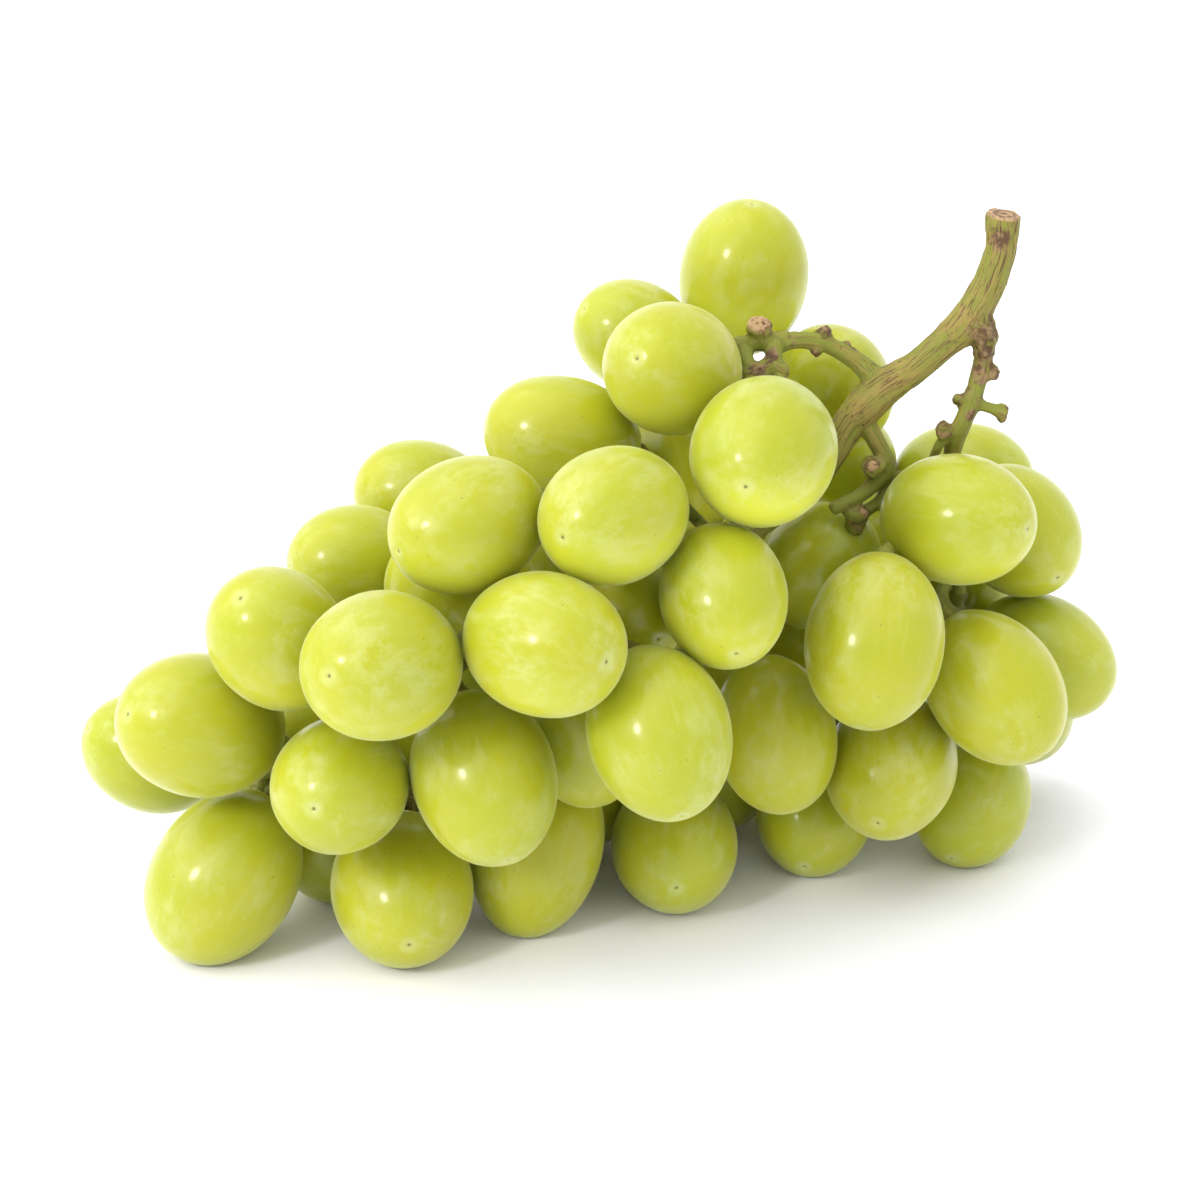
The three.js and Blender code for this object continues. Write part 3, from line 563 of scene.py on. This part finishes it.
def bark_material(look, specks):
    """Green bark with tan ridges, brown nodes and scars, and corky ends."""
    material, shader, nodes = new_material("stem_bark")
    along = nodes.add("ShaderNodeAttribute", attribute_name="bark_place").outputs["Vector"]
    scar = nodes.add("ShaderNodeAttribute", attribute_name="scar").outputs["Fac"]
    cut = nodes.add("ShaderNodeAttribute", attribute_name="cut").outputs["Fac"]
    ridge = nodes.add("ShaderNodeAttribute", attribute_name="ridge").outputs["Fac"]
    young = nodes.add("ShaderNodeAttribute", attribute_name="young").outputs["Fac"]
    where = nodes.add("ShaderNodeTexCoord").outputs["Object"]

    fibres = nodes.scaled(along, (1.0, 1.0, 0.5))
    streaks = nodes.noise(fibres, 1.3, 4.0, 0.62)
    patches = nodes.noise(where, 170.0, 3.0, 0.55)
    age = nodes.math("ADD", nodes.math("MULTIPLY", nodes.range(streaks, 0.38, 0.66), 0.55),
                     nodes.math("MULTIPLY", nodes.range(patches, 0.4, 0.62), 0.35))
    age = nodes.math("ADD", age, nodes.math("MULTIPLY", ridge, 0.25))
    age = nodes.math("SUBTRACT", age, nodes.math("MULTIPLY", young, 0.55), clamp=True)
    bark = nodes.mix(age, tuple(look.green), tuple(look.tan))

    edges = nodes.noise(where, 900.0, 4.0, 0.65)
    frayed = nodes.math("ADD", nodes.math("SUBTRACT", edges, 0.5), nodes.math("SUBTRACT", streaks, 0.5))
    worn = nodes.math("ADD", scar, nodes.math("MULTIPLY", frayed, 1.5))
    husk = nodes.range(nodes.noise(where, 620.0, 3.0, 0.6), 0.45, 0.62, 0.0, 0.55)
    brown = nodes.mix(husk, tuple(look.scar), tuple(look.cork))
    bark = nodes.mix(nodes.range(worn, 0.25, 0.8, 0.0, 0.9), bark, brown)
    cracks = nodes.noise(fibres, 2.7, 4.0, 0.7)
    dark = nodes.math("MULTIPLY", nodes.range(cracks, 0.5, 0.64), nodes.range(young, 0.95, 0.3, 0.15, 1.0))
    bark = nodes.mix(nodes.math("MULTIPLY", dark, 0.95), bark, tuple(look.scar))
    crumbs = nodes.range(nodes.noise(where, 1500.0, 3.0, 0.7), 0.3, 0.55)
    cork = nodes.mix(crumbs, tuple(look.scar), tuple(look.cork))
    away = nodes.add("ShaderNodeVectorMath", {0: where, 1: view_point(*CUT_MIDDLE)}, operation="DISTANCE")
    away = nodes.math("MULTIPLY", away.outputs["Value"], 1 / MM)
    ring = nodes.math("MULTIPLY", nodes.range(away, *CUT_RING_INNER), nodes.range(away, *CUT_RING_OUTER))
    heart = nodes.range(away, *CUT_HEART)
    grain_rings = nodes.math("MAXIMUM", nodes.math("MULTIPLY", ring, 0.6),
                             nodes.math("MULTIPLY", heart, 0.85))
    near_cut = nodes.range(away, *CUT_PATTERN_EDGE)
    cork = nodes.mix(nodes.math("MULTIPLY", grain_rings, near_cut), cork, tuple(look.scar))
    bark = nodes.mix(nodes.range(cut, 0.25, 0.75), bark, cork)
    speckle = nodes.add("ShaderNodeGroup", {"Place": where, **BARK_SPECKS}, node_tree=specks)
    bark = nodes.mix(nodes.math("MULTIPLY", speckle.outputs["Specks"], 0.4), bark, tuple(look.scar))

    links = material.node_tree.links
    links.new(bark, shader.inputs["Base Color"])
    rough = nodes.math("ADD", nodes.math("MULTIPLY", cracks, 0.3), 0.42)
    links.new(rough, shader.inputs["Roughness"])
    height = nodes.math("ADD", nodes.math("MULTIPLY", streaks, 0.7), nodes.math("MULTIPLY", edges, 0.5))
    bump = nodes.add("ShaderNodeBump", {"Height": height, "Strength": 0.55, "Distance": 0.35 * MM})
    links.new(bump.outputs["Normal"], shader.inputs["Normal"])
    shader.inputs["Subsurface Weight"].default_value = 0.15
    shader.inputs["Subsurface Radius"].default_value = (1.0, 0.9, 0.3)
    shader.inputs["Subsurface Scale"].default_value = 0.6 * MM
    shader.inputs["Specular IOR Level"].default_value = 0.2
    return material


def table_material(color):
    """Smooth matt white with a faint unevenness."""
    material, shader, nodes = new_material("table_white")
    where = nodes.add("ShaderNodeTexCoord").outputs["Object"]
    cloud = nodes.noise(where, 6.0, 2.0)
    tint = nodes.mix(nodes.math("MULTIPLY", cloud, 0.04), tuple(color), tuple(0.9 * part for part in color))
    material.node_tree.links.new(tint, shader.inputs["Base Color"])
    shader.inputs["Roughness"].default_value = 0.6
    shader.inputs["Specular IOR Level"].default_value = 0.25
    return material


def skin_fit(node):
    """Centre, half-length, half-width and axis, towards the tip, of a grape's solid."""
    corners = points_of(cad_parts[node].data)
    corners = corners[corners[:, 2] > 0.1 * MM]
    start = corners.mean(0)
    x, y, z = (corners - start).T / MM
    terms = np.column_stack([x * x, y * y, z * z, 2 * x * y, 2 * x * z, 2 * y * z, 2 * x, 2 * y, 2 * z])
    a, b, c, d, e, f, g, h, i = np.linalg.lstsq(terms, np.ones(len(x)), rcond=None)[0]
    form = np.array([[a, d, e], [d, b, f], [e, f, c]])
    offset = -np.linalg.solve(form, np.array([g, h, i]))
    sizes, axes = np.linalg.eigh(form / (1 + offset @ form @ offset))
    halves = MM / np.sqrt(sizes)
    centre = start + offset * MM
    axis = axes[:, 0]
    stem = points_of(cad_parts["stem"].data)
    gaps = [np.linalg.norm(stem - (centre + side * halves[0] * axis), axis=1).min() for side in (-1, 1)]
    if gaps[1] < gaps[0]:
        axis = -axis
    return Vector(centre), halves[0], (halves[1] + halves[2]) / 2, Vector(axis)


def grape_form(look):
    """One grape of unit size, tip up, with a dimple at its stem end and a small scar at its tip."""
    deselect_all()
    bpy.ops.mesh.primitive_uv_sphere_add(segments=look.segments, ring_count=look.rings, radius=1)
    piece = bpy.context.active_object
    piece.name = "grape_form"
    bpy.ops.object.mode_set(mode="EDIT")
    bpy.ops.mesh.select_mode(type="FACE")
    polar = math.cos(POLE_ROWS * math.pi / look.rings)
    for side, insets in ((1, TIP_INSETS), (-1, STEM_END_INSETS)):
        bpy.ops.mesh.select_all(action="DESELECT")
        work = bmesh.from_edit_mesh(piece.data)
        work.faces.ensure_lookup_table()
        for face in work.faces:
            face.select_set(all(side * corner.co.z > polar for corner in face.verts))
        bmesh.update_edit_mesh(piece.data)
        for thickness in insets:
            bpy.ops.mesh.inset(thickness=thickness, depth=0)
        bpy.ops.transform.translate(value=(0, 0, -END_SINK * side))
    bpy.ops.object.mode_set(mode="OBJECT")
    points = points_of(piece.data)
    across = np.hypot(points[:, 0], points[:, 1])
    low = points[:, 2] < 0
    dimple = np.exp(-(across / DIMPLE_REACH) ** 2) * DIMPLE_DEPTH
    lip = np.exp(-((across - LIP_PLACE) / LIP_REACH) ** 2) * LIP_HEIGHT
    points[:, 2] += np.where(low, dimple - lip, -TIP_DENT * np.exp(-(across / TIP_REACH) ** 2))
    set_points(piece.data, points)
    bpy.ops.object.shade_smooth()
    return piece


def grow_grape(form, node, look, material, dice):
    """One grape from the form: stretched and turned to its solid, made uneven, and flat where it lies."""
    centre, long, wide, axis = skin_fit(node)
    piece = form.copy()
    piece.data = form.data.copy()
    piece.name = node + "_skin"
    piece.data.name = piece.name
    bpy.context.scene.collection.objects.link(piece)
    local = points_of(piece.data)
    own = np.array([dice.uniform(-PATTERN_SPREAD, PATTERN_SPREAD) for _ in range(3)])
    egg = dice.uniform(-EGG, EGG)
    long += look.swell
    wide += look.swell
    lumps = np.array([noise.noise(Vector(point * LUMP_SCALE + own)) for point in local]) * look.lumps
    shaped = local * np.array([wide, wide, long])
    shaped[:, :2] *= (1 + egg * local[:, 2])[:, None]
    shaped += local * lumps[:, None]
    turn = np.array(Vector((0, 0, 1)).rotation_difference(axis).to_matrix())
    spin = np.array(Matrix.Rotation(dice.uniform(0, math.tau), 3, "Z"))
    placed = shaped @ spin.T @ turn.T + np.array(centre)
    placed[:, 2] = np.maximum(placed[:, 2], 0)
    set_points(piece.data, placed)
    # Painted light: how far each point's flesh is lightened, more low on the grape and more on the higher
    # grapes
    lowness = np.clip((centre.z - placed[:, 2]) / wide + GLOW_WRAP, 0, 1)
    raised = min(max((centre.z - GLOW_START) / GLOW_RISE, 0), GLOW_MOST)
    keep_values(piece.data, "painted_underside_glow", lowness * lowness * (3 - 2 * lowness) * raised)
    keep_values(piece.data, "skin_place", local)
    keep_values(piece.data, "own_pattern", np.tile(own, (len(local), 1)))
    keep_values(piece.data, "ripeness", np.full(len(local), dice.uniform(0, 1)))
    piece.data.materials.clear()
    piece.data.materials.append(material)
    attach(piece, "root")
    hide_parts(node)
    return piece


class GRAPES_OT_skins(bpy.types.Operator):
    """Grows every grape round its solid"""

    bl_idname = "grapes.skins"
    bl_label = "Grow the grapes"

    def execute(self, context):
        look = context.scene.grape_skin
        dice = random.Random(GRAPE_SEED)
        material = grape_material(look, shared_specks())
        form = grape_form(look)
        for node in GRAPE_NODES:
            grow_grape(form, node, look, material, dice)
        bpy.data.objects.remove(form)
        return {"FINISHED"}


def shared_specks():
    """The speckle group, made once."""
    return bpy.data.node_groups.get("fine_specks") or speckle_group()


def branch_line(points):
    """A branch's points and radii in metres, in the part's frame."""
    return [(view_point(across, up, back), radius * MM) for across, up, back, radius in points]


def smooth_line(points):
    """A smooth run of places and radii through a branch's points."""
    line = branch_line(points)
    places = [place for place, _ in line]
    radii = [radius for _, radius in line]
    run = []
    for index in range(len(line) - 1):
        before = places[max(index - 1, 0)]
        after = places[min(index + 2, len(line) - 1)]
        first, second = places[index], places[index + 1]
        for step in range(SMOOTH_STEPS):
            share = step / SMOOTH_STEPS
            bend = (first * 2 + (second - before) * share
                    + (before * 2 - first * 5 + second * 4 - after) * share ** 2
                    + (first * 3 - before - second * 3 + after) * share ** 3) / 2
            ease = share * share * (3 - 2 * share)
            run.append((bend, radii[index] + (radii[index + 1] - radii[index]) * ease))
    run.append((places[-1], radii[-1]))
    return run


def branch_tube(name, points, sides):
    """A round tube along a branch, closed at both ends."""
    run = smooth_line(points)
    curve = bpy.data.curves.new(name, "CURVE")
    curve.dimensions = "3D"
    curve.bevel_depth = 1
    curve.bevel_resolution = sides // 2
    curve.use_fill_caps = True
    spline = curve.splines.new("POLY")
    spline.points.add(len(run) - 1)
    for point, (place, radius) in zip(spline.points, run):
        point.co = (*place, 1)
        point.radius = radius
    tube = bpy.data.objects.new(name, curve)
    bpy.context.scene.collection.objects.link(tube)
    select_only(tube)
    bpy.ops.object.convert(target="MESH")
    return bpy.context.active_object


def knob(name, across, up, back, radius, squash_across, squash_up, dice):
    """A rough swelling: a ball pushed in and out by noise."""
    deselect_all()
    bpy.ops.mesh.primitive_ico_sphere_add(subdivisions=3, radius=radius * MM,
                                          location=view_point(across, up, back))
    piece = bpy.context.active_object
    piece.name = name
    piece.scale = (squash_across, 1, squash_up)
    settle_place(piece)
    points = points_of(piece.data)
    middle = points.mean(0)
    shift = np.array([dice.uniform(-9, 9) for _ in range(3)])
    rough = np.array([noise.noise(Vector(point / MM * KNOB_GRAIN + shift)) for point in points])
    set_points(piece.data, middle + (points - middle) * (1 + KNOB_ROUGHNESS * rough)[:, None])
    return piece


def slanting_cut(piece):
    """Cuts a piece off along the stem's slanting end and closes it there."""
    select_only(piece)
    bpy.ops.object.mode_set(mode="EDIT")
    bpy.ops.mesh.select_all(action="SELECT")
    bpy.ops.mesh.bisect(plane_co=view_point(*CUT_MIDDLE), plane_no=cut_facing(), use_fill=True,
                        clear_outer=True)
    bpy.ops.object.mode_set(mode="OBJECT")


def joined(pieces, name):
    """All the pieces in one mesh."""
    deselect_all()
    for piece in pieces:
        piece.select_set(True)
    bpy.context.view_layer.objects.active = pieces[0]
    bpy.ops.object.join()
    whole = bpy.context.active_object
    whole.name = name
    return whole


def stalk_cap(node):
    """The small collar that holds a grape on its stalk, pressed into the dimple at its stem end."""
    centre, long, _, axis = skin_fit(node)
    deselect_all()
    bpy.ops.mesh.primitive_cylinder_add(vertices=CAP_SIDES, radius=CAP_RADIUS, depth=CAP_LENGTH)
    cap = bpy.context.active_object
    bpy.ops.object.mode_set(mode="EDIT")
    bpy.ops.mesh.select_mode(type="FACE")
    for side, factor in ((1, CAP_WIDENING), (-1, CAP_NARROWING)):
        bpy.ops.mesh.select_all(action="DESELECT")
        work = bmesh.from_edit_mesh(cap.data)
        for face in work.faces:
            face.select_set(side * face.normal.z > 0.9)
        bmesh.update_edit_mesh(cap.data)
        bpy.ops.transform.resize(value=(factor, factor, 1))
    bpy.ops.mesh.select_all(action="SELECT")
    bpy.ops.mesh.bevel(offset=CAP_BEVEL, segments=2)
    bpy.ops.object.mode_set(mode="OBJECT")
    turn = Vector((0, 0, 1)).rotation_difference(axis).to_matrix().to_4x4()
    cap.data.transform(Matrix.Translation(centre - axis * (long + CAP_GAP)) @ turn)
    return cap


def nearest_on_lines(points, lines):
    """For each point: the gap to its nearest branch, then that branch's place along it in metres, radius,
    nearest point, direction and number."""
    best = np.full(len(points), np.inf)
    along = np.zeros(len(points))
    radius = np.zeros(len(points))
    foot = np.zeros((len(points), 3))
    ahead = np.zeros((len(points), 3))
    number = np.zeros(len(points), int)
    for index, run in enumerate(lines):
        travelled = 0.0
        for (start, start_radius), (end, end_radius) in zip(run, run[1:]):
            first = np.array(start)
            span = np.array(end) - first
            length = np.linalg.norm(span)
            if length < SHORTEST_SPAN:
                continue
            share = np.clip((points - first) @ span / length ** 2, 0, 1)
            place = first + share[:, None] * span
            here = start_radius + share * (end_radius - start_radius)
            gap = np.linalg.norm(points - place, axis=1) - here
            closer = gap < best
            best = np.where(closer, gap, best)
            along = np.where(closer, travelled + share * length, along)
            radius = np.where(closer, here, radius)
            number = np.where(closer, index, number)
            foot[closer] = place[closer]
            ahead[closer] = span / length
            travelled += length
    return best, along, radius, foot, ahead, number


def reach_share(points, across, up, back, reach):
    """How far each point is from a named spot, as a part of the spot's reach."""
    return np.linalg.norm(points - np.array(view_point(across, up, back)), axis=1) / (reach * MM)


def rows_of_noise(rows):
    """Soft noise from -1 to 1 for each row of a place."""
    return np.array([noise.noise(Vector(row)) for row in rows])


def paint_bark(piece, look):
    """Raises the ridges along the branches and keeps what the bark material reads at each point."""
    mesh = piece.data
    points = points_of(mesh)
    normals = np.empty(len(points) * 3)
    mesh.vertices.foreach_get("normal", normals)
    normals = normals.reshape(-1, 3)
    lines = [smooth_line(branch) for branch in BRANCHES]
    gap, along, radius, foot, ahead, number = nearest_on_lines(points, lines)
    fixed = np.array([0.3, 1.0, 0.2])
    side = fixed - (ahead @ fixed)[:, None] * ahead
    side /= np.linalg.norm(side, axis=1)[:, None]
    other = np.cross(ahead, side)
    out = points - foot
    turn = np.arctan2((out * other).sum(1), (out * side).sum(1))
    branch = np.clip((1.2 * MM - gap) / (0.9 * MM), 0, 1)
    round_size = radius / MM * 1.35
    place = np.column_stack([np.cos(turn) * round_size, np.sin(turn) * round_size,
                             along / MM * 0.13 + number * 7.3])
    ridges = rows_of_noise(place * (1.25, 1.25, 1)) + 0.5 * rows_of_noise(place * (2.6, 2.6, 1.7))
    rough = rows_of_noise(points / MM * 1.1)
    scar = np.zeros(len(points))
    for spot in SCARS:
        scar = np.maximum(scar, np.clip(1.35 - reach_share(points, *spot), 0, 1))
    cut_end = np.array(view_point(*CUT_MIDDLE))
    cut = np.clip(((points - cut_end) @ np.array(cut_facing()) + 0.35 * MM) / (0.3 * MM), 0, 1)
    cut *= np.linalg.norm(points - cut_end, axis=1) < CUT_REACH
    for spot in CORKS:
        cut = np.maximum(cut, np.clip(2.4 - 2 * reach_share(points, *spot), 0, 1) * 0.8)
    lift = look.ridge_height * ridges * branch * np.clip(radius / (2.2 * MM), 0.4, 1.2) * (1 - cut)
    grit = rows_of_noise(points / MM * 2.3)
    lift += (rough * (0.1 + 0.6 * scar) + grit * (0.06 + 0.4 * scar)) * 0.35 * MM
    set_points(mesh, points + normals * lift[:, None])
    young = np.clip(1.35 - radius / (2 * MM), 0, 1) * branch + (1 - branch) * 0.75
    keep_values(mesh, "bark_place", place)
    keep_values(mesh, "ridge", np.clip(ridges + 0.3, 0, 1) * branch)
    keep_values(mesh, "scar", scar)
    keep_values(mesh, "cut", cut)
    keep_values(mesh, "young", young)


class GRAPES_OT_stem(bpy.types.Operator):
    """Rebuilds the stem as one rough branching piece"""

    bl_idname = "grapes.stem"
    bl_label = "Grow the stem"

    def execute(self, context):
        look = context.scene.grape_stem
        dice = random.Random(KNOB_SEED)
        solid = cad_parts["stem"]
        stalks = solid.copy()
        stalks.data = solid.data.copy()
        stalks.parent = None
        for key in list(stalks.keys()):
            del stalks[key]
        stalks.name = "stem_stalks"
        context.scene.collection.objects.link(stalks)
        select_only(stalks)
        bpy.ops.object.mode_set(mode="EDIT")
        bpy.ops.mesh.select_all(action="SELECT")
        bpy.ops.mesh.remove_doubles(threshold=0.001 * MM)
        bpy.ops.mesh.normals_make_consistent(inside=False)
        bpy.ops.object.mode_set(mode="OBJECT")
        apply_modifier(stalks, "DISPLACE", "swell", strength=STALK_SWELL, mid_level=0)
        tubes = [branch_tube(f"branch_{index}", branch, look.tube_sides)
                 for index, branch in enumerate(BRANCHES)]
        slanting_cut(stalks)
        slanting_cut(tubes[0])
        knobs = [knob(f"knob_{index}", *values, dice) for index, values in enumerate(KNOBS)]
        caps = [stalk_cap(node) for node in GRAPE_NODES]
        piece = joined([stalks, *tubes, *knobs, *caps], "stem_bark")
        apply_modifier(piece, "REMESH", "rebuild", mode="VOXEL", voxel_size=look.grain, adaptivity=0)
        apply_modifier(piece, "SMOOTH", "soften", factor=0.5, iterations=3)
        paint_bark(piece, look)
        piece.data.materials.clear()
        piece.data.materials.append(bark_material(look, shared_specks()))
        select_only(piece)
        bpy.ops.object.shade_smooth()
        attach(piece, "root")
        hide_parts("stem")
        return {"FINISHED"}


def soft_light(name, towards, distance, size, power):
    """A round light that looks at the bunch from a direction."""
    data = bpy.data.lights.new(name, "AREA")
    data.shape = "DISK"
    data.size = size
    data.energy = power
    light = bpy.data.objects.new(name, data)
    bpy.context.scene.collection.objects.link(light)
    direction = Vector(towards).normalized()
    light.location = VIEW_CENTRE + direction * distance
    light.rotation_euler = direction.to_track_quat("Z", "Y").to_euler()


def wide_light(name, towards, spread, strength):
    """A far soft light, even over the whole table."""
    data = bpy.data.lights.new(name, "SUN")
    data.angle = spread
    data.energy = strength
    light = bpy.data.objects.new(name, data)
    bpy.context.scene.collection.objects.link(light)
    light.rotation_euler = Vector(towards).to_track_quat("Z", "Y").to_euler()


class GRAPES_OT_table(bpy.types.Operator):
    """Sets the white table, the lights and the camera of the photograph"""

    bl_idname = "grapes.table"
    bl_label = "Set the table"

    def execute(self, context):
        look = context.scene.grape_table
        deselect_all()
        bpy.ops.mesh.primitive_plane_add(size=TABLE_SIZE)
        floor = context.active_object
        floor.name = "table"
        floor.data.materials.append(table_material(look.floor))

        world = bpy.data.worlds.new("white_surround")
        world.use_nodes = True
        context.scene.world = world
        back = world.node_tree.nodes["Background"]
        back.inputs["Color"].default_value = (1, 1, 1, 1)
        nodes = Nodes(world.node_tree)
        ways = nodes.add("ShaderNodeSeparateXYZ", {0: nodes.add("ShaderNodeTexCoord").outputs["Generated"]})
        height = nodes.math("ADD", nodes.math("MULTIPLY", ways.outputs["Y"], SKY_TILT), ways.outputs["Z"])
        strength = nodes.range(height, -SKY_EDGE, SKY_EDGE, look.sky_front, look.sky)
        seen = nodes.add("ShaderNodeLightPath").outputs["Is Camera Ray"]
        shown = nodes.math("MAXIMUM", strength, seen)
        world.node_tree.links.new(shown, back.inputs["Strength"])

        soft_light("key_light", KEY_FROM, KEY_DISTANCE, KEY_SIZE, look.key)
        wide_light("top_light", TOP_FROM, look.top_spread, look.top)

        data = bpy.data.cameras.new("photo_view")
        data.sensor_width = SENSOR_WIDTH
        data.lens = data.sensor_width / 2 * VIEW_DISTANCE / HALF_PICTURE
        data.clip_start = 0.01
        data.clip_end = 20
        camera = bpy.data.objects.new("photo_view", data)
        context.scene.collection.objects.link(camera)
        camera.location = VIEW_CENTRE - VIEW_AHEAD * VIEW_DISTANCE
        camera.rotation_euler = (math.pi / 2 - VIEW_DOWN, 0, 0)
        context.scene.camera = camera
        context.scene.view_settings.view_transform = "Standard"
        return {"FINISHED"}


class GRAPES_PT_panel(bpy.types.Panel):
    """The steps that make the bunch, and their sizes and colours"""

    bl_idname = "GRAPES_PT_panel"
    bl_label = "Bunch of grapes"
    bl_space_type = "VIEW_3D"
    bl_region_type = "UI"
    bl_category = "Grapes"

    def draw(self, context):
        for settings, operator in (
            (context.scene.grape_skin, GRAPES_OT_skins),
            (context.scene.grape_stem, GRAPES_OT_stem),
            (context.scene.grape_table, GRAPES_OT_table),
        ):
            box = self.layout.box()
            for name in settings.bl_rna.properties.keys():
                if name not in {"rna_type", "name"}:
                    box.prop(settings, name)
            box.operator(operator.bl_idname)


CLASSES = (GrapeSkinSettings, StemSettings, TableSettings, GRAPES_OT_skins, GRAPES_OT_stem, GRAPES_OT_table,
           GRAPES_PT_panel)


def register():
    """Registers the classes and adds their settings to the scene."""
    for entry in CLASSES:
        bpy.utils.register_class(entry)
    bpy.types.Scene.grape_skin = bpy.props.PointerProperty(type=GrapeSkinSettings)
    bpy.types.Scene.grape_stem = bpy.props.PointerProperty(type=StemSettings)
    bpy.types.Scene.grape_table = bpy.props.PointerProperty(type=TableSettings)


def unregister():
    """Takes the settings and the classes away again."""
    del bpy.types.Scene.grape_table
    del bpy.types.Scene.grape_stem
    del bpy.types.Scene.grape_skin
    for entry in reversed(CLASSES):
        bpy.utils.unregister_class(entry)


def main():
    """Makes every piece and the stage in order."""
    register()
    bpy.ops.grapes.skins()
    bpy.ops.grapes.stem()
    bpy.ops.grapes.table()


if __name__ == "__main__":
    main()
